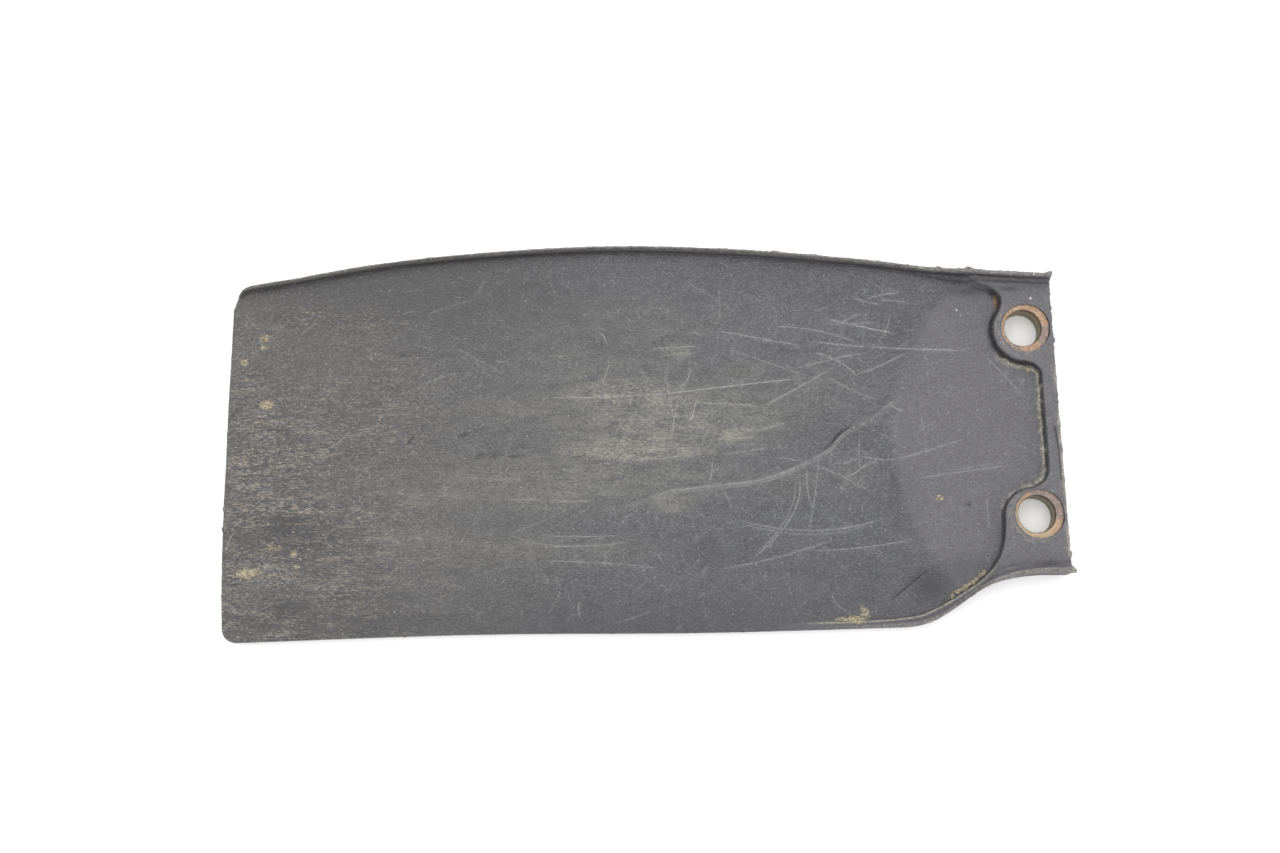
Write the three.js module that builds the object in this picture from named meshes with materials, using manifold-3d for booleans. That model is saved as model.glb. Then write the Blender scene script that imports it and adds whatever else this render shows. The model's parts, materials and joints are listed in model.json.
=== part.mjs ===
// Rear shock flap of an off-road motorcycle: one rubber moulding that hangs from a thick strip
// at its upper end, with two flanged steel collars moulded into the strip for its bolts.
//
// Millimetres. The flap lies on its flat back. +Z comes out of its outer face, +Y runs along
// the line of the two bolt holes, and the free end points along -X. The origin is on the back
// face, midway between the hole axes.

import * as THREE from 'three';
import { mergeVertices } from 'three/addons/utils/BufferGeometryUtils.js';
import Module from 'manifold-3d';

const wasm = await Module();
wasm.setup();

// Driving dimensions
const HOLE_SPACING = 46.4;
const SHEET_THICKNESS = 3;
const STRIP_THICKNESS = 6;
const LIP_RISE = 3; // how far a lip stands above the face beside it
const LIP_CREST = 1; // width of a lip's flat top
const STRIP_END_X = 7.3; // from the line of hole axes to the end of the strip
const FREE_CORNER_R = 3.2;

// Collar: a sleeve for an M8 bolt, with a flange under the rubber skin and a rolled mouth
const BORE_R = 4.5;
const SLEEVE_R = 5.6;
const FLANGE_R = 6.7;
const FLANGE_TOP = 5.5;
const FLANGE_THICKNESS = 1;
const MOUTH_ROLL_R = 0.8;
const GAP = 0.3; // between the steel and the rubber round it
const WINDOW_R = 6.1; // the round opening in the rubber skin over the flange
const WINDOW_SHIFT = 0.7; // of the opening, from the bore axis towards the strip's end

const ROUND_SIDES = 48;
const EDGE_STEPS = 24;
const CURVE_STEPS = 8;

// Outline of the rubber, as x, y
const FREE_TOP = [-194.6, 38.6];
const STRIP_TOP = [STRIP_END_X, 36.2];
const STRIP_BOTTOM = [STRIP_END_X, -37.4];
const FREE_BOTTOM = [-198.2, -47.1];
const TOP_EDGE = [FREE_TOP, [-172, 43.6], [-131, 47.2], [-101, 47.7], [-71, 46], [-41, 42.5], [-12, 38], STRIP_TOP];
const BOTTOM_EDGE = [[-137, -47.2], [-82, -48.7], [-34, -49.1]];
const FREE_EDGE_MIDDLE = [-198.1, -20];

const points = (list) => list.map(([x, y]) => new THREE.Vector2(x, y));

/** The top edge, from the free end to the strip's end. */
function topEdge() {
  return new THREE.SplineCurve(points(TOP_EDGE)).getSpacedPoints(EDGE_STEPS);
}

/** The edge below the strip: straight along the strip, then a shallow S down to the sheet's bottom edge. */
function steppedEdge() {
  const path = new THREE.Path();
  path.moveTo(...BOTTOM_EDGE.at(-1));
  path.bezierCurveTo(-27, -49.1, -25, -47.6, -19, -43.8);
  path.bezierCurveTo(-12, -39.4, -6, -37.3, 1, -37.2);
  path.lineTo(...STRIP_BOTTOM);
  return path.getPoints(CURVE_STEPS);
}

/** The whole outline, anticlockwise from the free end's bottom corner. */
function outline() {
  const [cornerX, cornerY] = FREE_BOTTOM;
  const corner = new THREE.EllipseCurve(
    cornerX + FREE_CORNER_R, cornerY + FREE_CORNER_R, FREE_CORNER_R, FREE_CORNER_R, Math.PI, 1.5 * Math.PI,
  );
  const bottom = new THREE.SplineCurve(points([[cornerX + FREE_CORNER_R, cornerY], ...BOTTOM_EDGE]));
  const freeEdge = new THREE.SplineCurve(
    points([FREE_TOP, [-196, 30], FREE_EDGE_MIDDLE, [cornerX, cornerY + FREE_CORNER_R]]),
  );
  return [
    ...corner.getPoints(4),
    ...bottom.getPoints(CURVE_STEPS).slice(1),
    ...steppedEdge().slice(1),
    ...topEdge().reverse(),
    ...freeEdge.getPoints(6).slice(1, -1),
  ];
}

/** The strip's outline: its inner side winds round both collars, and its other sides run past the flap. */
function stripOutline() {
  const lobe = { x: 0.7, y: 22.8, radius: 8 };
  const waistX = 3.85;
  const beyond = { x: 30, top: 50, bottom: -60 };
  const shape = new THREE.Shape();
  shape.moveTo(-16, beyond.top);
  shape.lineTo(-12, 36);
  shape.bezierCurveTo(-8, 34.6, -4.8, 33, -4.8, 30.4);
  shape.bezierCurveTo(-4.8, 27.6, lobe.x - lobe.radius, 26.4, lobe.x - lobe.radius, lobe.y);
  shape.absarc(lobe.x, lobe.y, lobe.radius, Math.PI, 1.42 * Math.PI, false);
  shape.bezierCurveTo(1.6, 14.9, waistX, 13.6, waistX, 11.4);
  shape.lineTo(waistX, -11.4);
  shape.bezierCurveTo(waistX, -14.8, 1.6, -16.4, -1.4, -16.9);
  shape.bezierCurveTo(-5.6, -17.6, -7.7, -20.4, -7.7, -24);
  shape.bezierCurveTo(-7.9, -33, -11.5, -37, -16, -39.8);
  shape.bezierCurveTo(-21, -42.9, -25, -45, -29, -46.4);
  shape.lineTo(-29, beyond.bottom);
  shape.lineTo(beyond.x, beyond.bottom);
  shape.lineTo(beyond.x, beyond.top);
  return shape.getPoints(CURVE_STEPS);
}

/** A manifold solid from any closed three.js geometry. */
function solidOf(geometry) {
  const bare = geometry.clone();
  bare.deleteAttribute('normal');
  bare.deleteAttribute('uv');
  const merged = mergeVertices(bare, 1e-4);
  return new wasm.Manifold(new wasm.Mesh({
    numProp: 3,
    vertProperties: new Float32Array(merged.attributes.position.array),
    triVerts: new Uint32Array(merged.index.array),
  }));
}

/** A three.js geometry from a manifold solid. */
function geometryOf(solid) {
  const { vertProperties, triVerts } = solid.getMesh();
  const geometry = new THREE.BufferGeometry();
  geometry.setAttribute('position', new THREE.BufferAttribute(new Float32Array(vertProperties), 3));
  geometry.setIndex(new THREE.BufferAttribute(new Uint32Array(triVerts), 1));
  geometry.computeVertexNormals();
  return geometry;
}

/** A flat plate of this outline between two heights. */
function plate(outlinePoints, bottom, top) {
  const geometry = new THREE.ExtrudeGeometry(new THREE.Shape(outlinePoints), {
    depth: top - bottom,
    bevelEnabled: false,
  });
  return solidOf(geometry.translate(0, 0, bottom));
}

/** An upright disc about (x, y), between two heights. */
function disc(x, y, radius, bottom, top) {
  const geometry = new THREE.CylinderGeometry(radius, radius, top - bottom, ROUND_SIDES);
  geometry.rotateX(Math.PI / 2);
  return solidOf(geometry.translate(x, y, (bottom + top) / 2));
}

/** Joins closed loops of the same number of points into one solid with flat ends. */
function loft(rings) {
  const count = rings[0].length;
  const faces = [];
  for (let ring = 0; ring + 1 < rings.length; ring += 1) {
    for (let i = 0; i < count; i += 1) {
      const a = ring * count + i;
      const b = ring * count + ((i + 1) % count);
      faces.push(a, b, b + count, a, b + count, a + count);
    }
  }
  const last = (rings.length - 1) * count;
  for (let i = 1; i + 1 < count; i += 1) {
    faces.push(0, i + 1, i);
    faces.push(last, last + i, last + i + 1);
  }
  const geometry = new THREE.BufferGeometry();
  geometry.setFromPoints(rings.flat());
  geometry.setIndex(faces);
  return solidOf(geometry);
}

/**
 * A lip along an edge of the flap. shape(x) gives its height, the width of its crest, and how
 * far its inner side leans out towards its foot. side is 1 where the flap lies to the right of
 * the edge's direction of travel, and -1 where it lies to the left.
 */
function lip(edge, side, shape) {
  const rings = edge.map((at, i) => {
    const along = edge[Math.min(i + 1, edge.length - 1)].clone().sub(edge[Math.max(i - 1, 0)]).normalize();
    const inward = new THREE.Vector2(along.y, -along.x).multiplyScalar(side);
    if (at.x > STRIP_END_X - 1e-3) inward.set(0, Math.sign(inward.y));
    const { top, crest, lean } = shape(at.x);
    const section = [[0, 0], [0, top], [crest, top], [crest + lean, SHEET_THICKNESS - 1], [crest + lean, 0]];
    const ring = section.map(([across, z]) => {
      const place = at.clone().addScaledVector(inward, across);
      return new THREE.Vector3(place.x, place.y, z);
    });
    return side > 0 ? ring : ring.reverse();
  });
  return loft(rings);
}

/** A value that moves smoothly from one number to another as x goes from start to end. */
const between = (x, start, end, from, to) => from + (to - from) * THREE.MathUtils.smoothstep(x, start, end);

/** The lip along the top edge: low beside the sheet, and higher where it passes the thick strip. */
const topLip = () => lip(topEdge(), 1, (x) => ({
  top: between(x, -24, -9, SHEET_THICKNESS, STRIP_THICKNESS) + LIP_RISE,
  crest: LIP_CREST,
  lean: between(x, -45, -12, 0.2, 0.9),
}));

/** The lip below the strip, which fades out where the sheet's bottom edge begins. */
const bottomLip = () => lip(steppedEdge(), -1, (x) => ({
  top: between(x, -38, 0, SHEET_THICKNESS + 0.3, STRIP_THICKNESS + LIP_RISE),
  crest: LIP_CREST,
  lean: between(x, -34, -20, 0.3, 1),
}));

/** What the rubber leaves free round one collar, and the window over its flange. */
function collarPocket(y) {
  const flangeBottom = FLANGE_TOP - FLANGE_THICKNESS;
  const sleeve = disc(0, y, SLEEVE_R + GAP, -1, flangeBottom);
  const flange = disc(0, y, FLANGE_R + GAP, flangeBottom - GAP, FLANGE_TOP + GAP);
  const window = disc(WINDOW_SHIFT, y, WINDOW_R, FLANGE_TOP, STRIP_THICKNESS + 1);
  return sleeve.add(flange).add(window);
}

/** The rubber moulding: sheet, strip and lips in one piece, pierced for the collars. */
function rubberFlap() {
  const sheet = plate(outline(), 0, SHEET_THICKNESS);
  const strip = plate(stripOutline(), 0, STRIP_THICKNESS).intersect(plate(outline(), 0, STRIP_THICKNESS));
  let rubber = sheet.add(strip).add(topLip()).add(bottomLip());
  for (const y of [HOLE_SPACING / 2, -HOLE_SPACING / 2]) {
    rubber = rubber.subtract(collarPocket(y));
  }
  return geometryOf(rubber);
}

/** A collar, with its bore along Z: sleeve, flange, and the mouth of the bore rolled outwards. */
function collar() {
  const roll = [];
  for (let i = 0; i <= 4; i += 1) {
    const turn = (i / 4) * (Math.PI / 2);
    roll.push([BORE_R + MOUTH_ROLL_R * (1 - Math.cos(turn)), FLANGE_TOP - MOUTH_ROLL_R * (1 - Math.sin(turn))]);
  }
  const flangeBottom = FLANGE_TOP - FLANGE_THICKNESS;
  const profile = points([
    [BORE_R, 0],
    [SLEEVE_R, 0],
    [SLEEVE_R, flangeBottom],
    [FLANGE_R, flangeBottom],
    [FLANGE_R, FLANGE_TOP],
    ...roll.reverse(),
    [BORE_R, 0],
  ]);
  return new THREE.LatheGeometry(profile, ROUND_SIDES).rotateX(Math.PI / 2);
}

const rubber = new THREE.MeshStandardMaterial({ color: 0x2b2b2d, roughness: 0.75, metalness: 0 });
const zincSteel = new THREE.MeshStandardMaterial({ color: 0x9a7a45, roughness: 0.5, metalness: 0.9 });

/** Adds one named mesh to the flap. */
function addMesh(group, name, geometry, material, y = 0) {
  const mesh = new THREE.Mesh(geometry, material);
  mesh.name = name;
  mesh.position.y = y;
  group.add(mesh);
}

const flap = new THREE.Group();
addMesh(flap, 'rubber_flap', rubberFlap(), rubber);
addMesh(flap, 'upper_collar', collar(), zincSteel, HOLE_SPACING / 2);
addMesh(flap, 'lower_collar', collar(), zincSteel, -HOLE_SPACING / 2);

export default flap;
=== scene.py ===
"""Rear shock flap of an off-road motorcycle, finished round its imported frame.

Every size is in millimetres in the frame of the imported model: the flap lies on its back, +Z comes
out of its face, +Y runs along the line of the bolt holes and the free end points along -X.
Meshes are turned into metres when they are made.
"""

import json
import math

import bpy
import numpy as np
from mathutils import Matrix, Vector
from mathutils.geometry import delaunay_2d_cdt
from mathutils.kdtree import KDTree


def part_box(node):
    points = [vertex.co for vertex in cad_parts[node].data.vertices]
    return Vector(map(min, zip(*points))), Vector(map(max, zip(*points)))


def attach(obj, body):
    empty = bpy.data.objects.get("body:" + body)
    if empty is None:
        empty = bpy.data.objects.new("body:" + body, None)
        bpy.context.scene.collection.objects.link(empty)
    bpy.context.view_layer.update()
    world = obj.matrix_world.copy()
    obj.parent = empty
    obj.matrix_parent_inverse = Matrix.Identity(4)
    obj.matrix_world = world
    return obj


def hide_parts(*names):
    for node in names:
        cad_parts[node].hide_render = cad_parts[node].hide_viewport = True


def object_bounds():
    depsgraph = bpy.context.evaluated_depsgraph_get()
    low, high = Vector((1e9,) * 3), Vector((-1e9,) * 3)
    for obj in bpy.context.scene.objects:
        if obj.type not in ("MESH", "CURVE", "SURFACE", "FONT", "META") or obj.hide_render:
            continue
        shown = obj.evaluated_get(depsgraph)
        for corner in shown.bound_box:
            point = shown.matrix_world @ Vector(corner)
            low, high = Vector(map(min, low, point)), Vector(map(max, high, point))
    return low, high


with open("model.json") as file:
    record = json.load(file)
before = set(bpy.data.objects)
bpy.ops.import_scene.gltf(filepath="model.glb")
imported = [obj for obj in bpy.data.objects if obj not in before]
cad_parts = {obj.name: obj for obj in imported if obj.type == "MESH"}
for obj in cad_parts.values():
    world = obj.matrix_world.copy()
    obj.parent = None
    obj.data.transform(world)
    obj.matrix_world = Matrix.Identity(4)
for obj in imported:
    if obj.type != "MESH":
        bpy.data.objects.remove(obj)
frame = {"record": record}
cad_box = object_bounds()

MM = 0.001

# Sizes that the frame gives
FLAP_LOW, FLAP_HIGH = (np.array(corner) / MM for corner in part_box("rubber_flap"))
MOUNTS = {mount["name"]: np.array(mount["pos_m"]) / MM for mount in frame["record"]["mounts"]}
HOLE_Y = MOUNTS["upper_bolt_seat"][1]
FLANGE_TOP = MOUNTS["upper_bolt_seat"][2]
STRIP_END = FLAP_HIGH[0]
LIP_TOP = FLAP_HIGH[2]

# Thicknesses of the rubber
SHEET = 3.0
STRIP = 6.0
SKIN = 0.45  # of the rubber over a collar's flange

# Collars
BORE_R = 4.5
SLEEVE_R = 5.6
FLANGE_R = 6.7
FLANGE_THICKNESS = 1.0
FIT = 0.15  # between the steel and the rubber round it
WINDOW_R = 6.0  # the round opening in the skin over a flange
WINDOW_SHIFT = 0.68

# How fine the meshes are
EDGE_STEP = 0.42
FACE_STEP = 0.62
BACK_STEP = 5.0
RIM_GAP = 0.05  # least distance of the face's inner points from its rims
FEATURE_GAP = 0.09  # least distance between the points along features
GRIT_REACH = 1.3  # of the points round a speck of grit, in its sizes
ROUND_SIDES = 120
SHARP_ANGLE = math.radians(58)

# Relief of the rubber
ROOT_RISE = 0.25  # of the thicker round zone beside the strip
GROOVE_DEPTH = 0.16  # at the foot of the strip's wall
RING_PITCH = 0.62  # of the ridges in the skin over a collar
RING_HEIGHT = 0.035
OUTER_WEAR = 0.32
WINDOW_WEAR = 0.12
WEAR_WIDTH = 0.4
BACK_ROUND = 0.3
GOUGE_DEPTH = 0.4
WELT_HEIGHT = 0.16  # of the ridge along the gouge
CREASE_DEPTH = 0.25
SPLIT_DEPTH = 0.35
DIP_DEPTH = 0.45
SCRATCH_DEPTH = 0.04
SCRATCH_SIDE = 0.1  # from a scratch's middle line to its edge
SMALL_SCRATCHES = 330  # how many random scuffs

# Camera and light, in metres and watts
CAMERA_AZIMUTH = math.radians(-2.05)
CAMERA_ELEVATION = math.radians(79.4)
CAMERA_DISTANCE = 0.441
CAMERA_LENS = 50  # mm
AIM_SHIFT = 0.0035  # of the camera's aim, up the flap
FLOOR_HALF = 3.0
FLOOR_GAP = 0.0002  # between the flap's back and the floor
WORLD_STRENGTH = 1.68
LAMP_PLACE = Vector((-0.05, 0.55, 0.75))  # from the flap's middle
LAMP_SIZE = (0.9, 0.5)
LAMP_POWER = 1.8

# Outline of the rubber
FREE_TOP = (-194.3, 38.9)
FREE_BOTTOM = (-198.2, -47.1)
FREE_CORNER_R = 3.2
TOP_EDGE = [
    FREE_TOP, (-193.4, 40.1), (-190.8, 40.8), (-180, 42.3), (-157, 45.5), (-131, 47.3), (-101, 47.8),
    (-71, 46), (-41, 42.5), (-12, 38), (STRIP_END, 36.2),
]
BOTTOM_EDGE = [(FREE_BOTTOM[0] + FREE_CORNER_R, FREE_BOTTOM[1]), (-137, -47.2), (-82, -48.7), (-34, -49.1)]
FREE_EDGE = [
    FREE_TOP, (-195.4, 36), (-196, 30), (-198.1, -20), (FREE_BOTTOM[0], FREE_BOTTOM[1] + FREE_CORNER_R),
]
STEP_EDGE = [
    [(-34, -49.1), (-27, -49.1), (-25, -47.6), (-19, -43.8)],
    [(-19, -43.8), (-12.5, -39), (-7.5, -37.7), (1, -37.6)],
]
STRIP_BOTTOM = (STRIP_END, -37.8)

# Top line of the strip's inner wall, as Bezier pieces, and its round lobe between the first pieces
LOBE_CENTRE = (0.7, 22.8)
LOBE_R = 8.0
WAIST_X = 3.85
WALL_ABOVE_LOBE = [
    [(-12, 36), (-8, 34.6), (-4.8, 33), (-4.8, 30.4)],
    [(-4.8, 30.4), (-4.8, 27.6), (-7.3, 26.4), (LOBE_CENTRE[0] - LOBE_R, LOBE_CENTRE[1])],
]
WALL_BELOW_LOBE = [
    [(WAIST_X, -11.4), (WAIST_X, -14.8), (1.6, -16.4), (-1.4, -16.9)],
    [(-1.4, -16.9), (-5.6, -17.6), (-7.7, -20.4), (-7.7, -24)],
    [(-7.7, -24), (-7.9, -33), (-11.5, -37), (-16, -39.8)],
    [(-16, -39.8), (-21, -42.9), (-25, -45), (-29, -46.4)],
    [(-29, -46.4), (-36, -47.9), (-48, -47.4), (-62, -47.3)],
]


# ---------------------------------------------------------------- curves

def smooth(value, start, end):
    """0 before start, 1 after end, and an even S between them."""
    part = np.clip((value - start) / (end - start), 0, 1)
    return part * part * (3 - 2 * part)


def hump(value, centre, width):
    """1 at the centre, fading evenly to 0 on both sides."""
    return np.exp(-((value - centre) / width) ** 2)


def bezier(corners, count=24):
    """Points on one cubic Bezier curve."""
    a, b, c, d = (np.array(corner, float) for corner in corners)
    t = np.linspace(0, 1, count)[:, None]
    return a * (1 - t) ** 3 + 3 * b * t * (1 - t) ** 2 + 3 * c * t * t * (1 - t) + d * t ** 3


def spline(knots, count=16):
    """Points on the Catmull-Rom curve through the knots."""
    knots = np.array(knots, float)
    padded = np.vstack([knots[:1], knots, knots[-1:]])
    t = np.linspace(0, 1, count, endpoint=False)[:, None]
    pieces = []
    for a, b, c, d in zip(padded, padded[1:], padded[2:], padded[3:]):
        pieces.append(0.5 * (2 * b + (c - a) * t + (2 * a - 5 * b + 4 * c - d) * t ** 2
                             + (3 * b - 3 * c + d - a) * t ** 3))
    return np.vstack([*pieces, knots[-1:]])


def arc(centre, radius, start, end, count=48):
    """Points on an arc of a circle, between two angles in radians."""
    turn = np.linspace(start, end, count)
    return np.array(centre) + radius * np.stack([np.cos(turn), np.sin(turn)], 1)


def even(points, step):
    """The same line with its points at equal steps."""
    points = np.array(points, float)
    lengths = np.hypot(*np.diff(points, axis=0).T)
    points = points[np.append(True, lengths > 1e-6)]
    along = np.append(0, np.cumsum(lengths[lengths > 1e-6]))
    at = np.linspace(0, along[-1], max(int(round(along[-1] / step)), 1) + 1)
    return np.stack([np.interp(at, along, points[:, axis]) for axis in (0, 1)], 1)


def tree_of(points):
    """A search tree over points in the flap's plane."""
    tree = KDTree(len(points))
    for index, (x, y) in enumerate(points):
        tree.insert((x, y, 0), index)
    tree.balance()
    return tree


class Line:
    """A dense line in the flap's plane, which says how far points lie to its left."""

    def __init__(self, points, closed=False):
        self.points = np.array(points, float)
        self.closed = closed
        self.tree = tree_of(self.points)

    def normals(self):
        """Unit vectors to the left of the line at its points."""
        if self.closed:
            along = np.roll(self.points, -1, 0) - np.roll(self.points, 1, 0)
        else:
            along = np.gradient(self.points, axis=0)
        left = np.stack([-along[:, 1], along[:, 0]], 1)
        return left / np.hypot(*left.T)[:, None]

    def measure(self, xy):
        """Distance of each point from the line, positive to its left."""
        count = len(self.points)
        nearest = np.array([self.tree.find((x, y, 0))[1] for x, y in xy])
        best = np.full(len(xy), np.inf)
        reach = np.zeros(len(xy))
        signed = np.zeros(len(xy))
        for first in (nearest - 1, nearest):
            if self.closed:
                start, end = self.points[first % count], self.points[(first + 1) % count]
            else:
                first = np.clip(first, 0, count - 2)
                start, end = self.points[first], self.points[first + 1]
            along = end - start
            part = np.clip(((xy - start) * along).sum(1) / (along ** 2).sum(1), 0, 1)
            away = xy - (start + along * part[:, None])
            distance = np.hypot(*away.T)
            turned = along[:, 0] * (xy[:, 1] - start[:, 1]) - along[:, 1] * (xy[:, 0] - start[:, 0])
            across = turned / np.hypot(*along.T)
            even_at_corner = (np.abs(distance - best) < 1e-7) & (np.abs(across) > reach)
            closer = (distance < best - 1e-7) | even_at_corner
            signed = np.where(closer, np.where(across < 0, -distance, distance), signed)
            best = np.where(closer, distance, best)
            reach = np.where(closer, np.abs(across), reach)
        return signed

    def row(self, offsets):
        """The line moved to its left, leaving out the points that a corner brings closer than that."""
        moved = self.points + self.normals() * np.broadcast_to(offsets, len(self.points))[:, None]
        kept = np.abs(self.measure(moved)) > np.abs(offsets) - 0.03
        return moved[kept]


def within(xy, outer, holes, gap=0.0):
    """Which points are more than a gap inside one closed line and outside the holes."""
    in_hole = np.max([hole.measure(xy) for hole in holes], axis=0)
    return (outer.measure(xy) > gap) & (in_hole < -gap)


def noise(xy, size, seed, stretch=1.0):
    """Smooth random values from -1 to 1 in lumps about `size` across, longer along X by `stretch`."""
    turn = 0.6 if stretch == 1.0 else 0.0
    x = (xy[:, 0] * math.cos(turn) - xy[:, 1] * math.sin(turn)) / (size * stretch)
    y = (xy[:, 0] * math.sin(turn) + xy[:, 1] * math.cos(turn)) / size
    cells = 256
    lattice = np.random.default_rng(seed).uniform(-1, 1, (cells, cells))
    i, j = np.floor(x).astype(int), np.floor(y).astype(int)
    u, v = x - i, y - j
    u, v = u * u * (3 - 2 * u), v * v * (3 - 2 * v)
    i, j = i % cells, j % cells
    i2, j2 = (i + 1) % cells, (j + 1) % cells
    low = lattice[i, j] * (1 - u) + lattice[i2, j] * u
    high = lattice[i, j2] * (1 - u) + lattice[i2, j2] * u
    return low * (1 - v) + high * v


# ---------------------------------------------------------------- the rubber's lines

def outline_points():
    """The outline, anticlockwise, with its points at equal steps on each side."""
    corner_centre = np.array(FREE_BOTTOM) + FREE_CORNER_R
    sides = [
        arc(corner_centre, FREE_CORNER_R, math.pi, 1.5 * math.pi),
        spline(BOTTOM_EDGE),
        np.vstack([bezier(STEP_EDGE[0]), bezier(STEP_EDGE[1]), [STRIP_BOTTOM]]),
        np.array([STRIP_BOTTOM, TOP_EDGE[-1]]),
        spline(TOP_EDGE)[::-1],
        spline(FREE_EDGE),
    ]
    return np.vstack([even(side, EDGE_STEP)[:-1] for side in sides])


def wall_points():
    """The top line of the strip's inner wall, with the strip to its left."""
    lobe = arc(LOBE_CENTRE, LOBE_R, math.pi, 1.42 * math.pi)
    below_lobe = [tuple(lobe[-1]), (1.6, 14.9), (WAIST_X, 13.6), (WAIST_X, 11.4)]
    pieces = [bezier(piece) for piece in WALL_ABOVE_LOBE]
    pieces += [lobe, bezier(below_lobe)]
    pieces += [bezier(piece) for piece in WALL_BELOW_LOBE]
    return even(np.vstack([[(-16, 50)], *pieces, [(-70, -53)]]), EDGE_STEP)


def worn_ring(centre, radius, seed):
    """A ring of points with a slightly ragged radius."""
    ring = arc(centre, radius, 0, 2 * math.pi, ROUND_SIDES + 1)[:-1]
    ragged = 0.07 * noise(ring, 0.7, seed) + 0.06 * noise(ring, 3.0, seed)
    return ring + (ring - centre) / radius * ragged[:, None]


OUTLINE = Line(outline_points(), closed=True)
WALL = Line(wall_points())
TOP = Line(even(np.vstack([spline(TOP_EDGE), [(STRIP_END + 6, 35.7)]])[::-1], EDGE_STEP))
STEPPED = Line(even(np.vstack([
    [(-62, -49)], bezier(STEP_EDGE[0]), bezier(STEP_EDGE[1]), [STRIP_BOTTOM], [(STRIP_END + 6, -37.9)],
]), EDGE_STEP))
WINDOWS = [
    Line(worn_ring((WINDOW_SHIFT, y), WINDOW_R, seed), closed=True)
    for y, seed in ((HOLE_Y, 81), (-HOLE_Y, 82))
]
ROOT_CENTRE = (19.5, -4.5)
ROOT_R = 53.0

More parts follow.
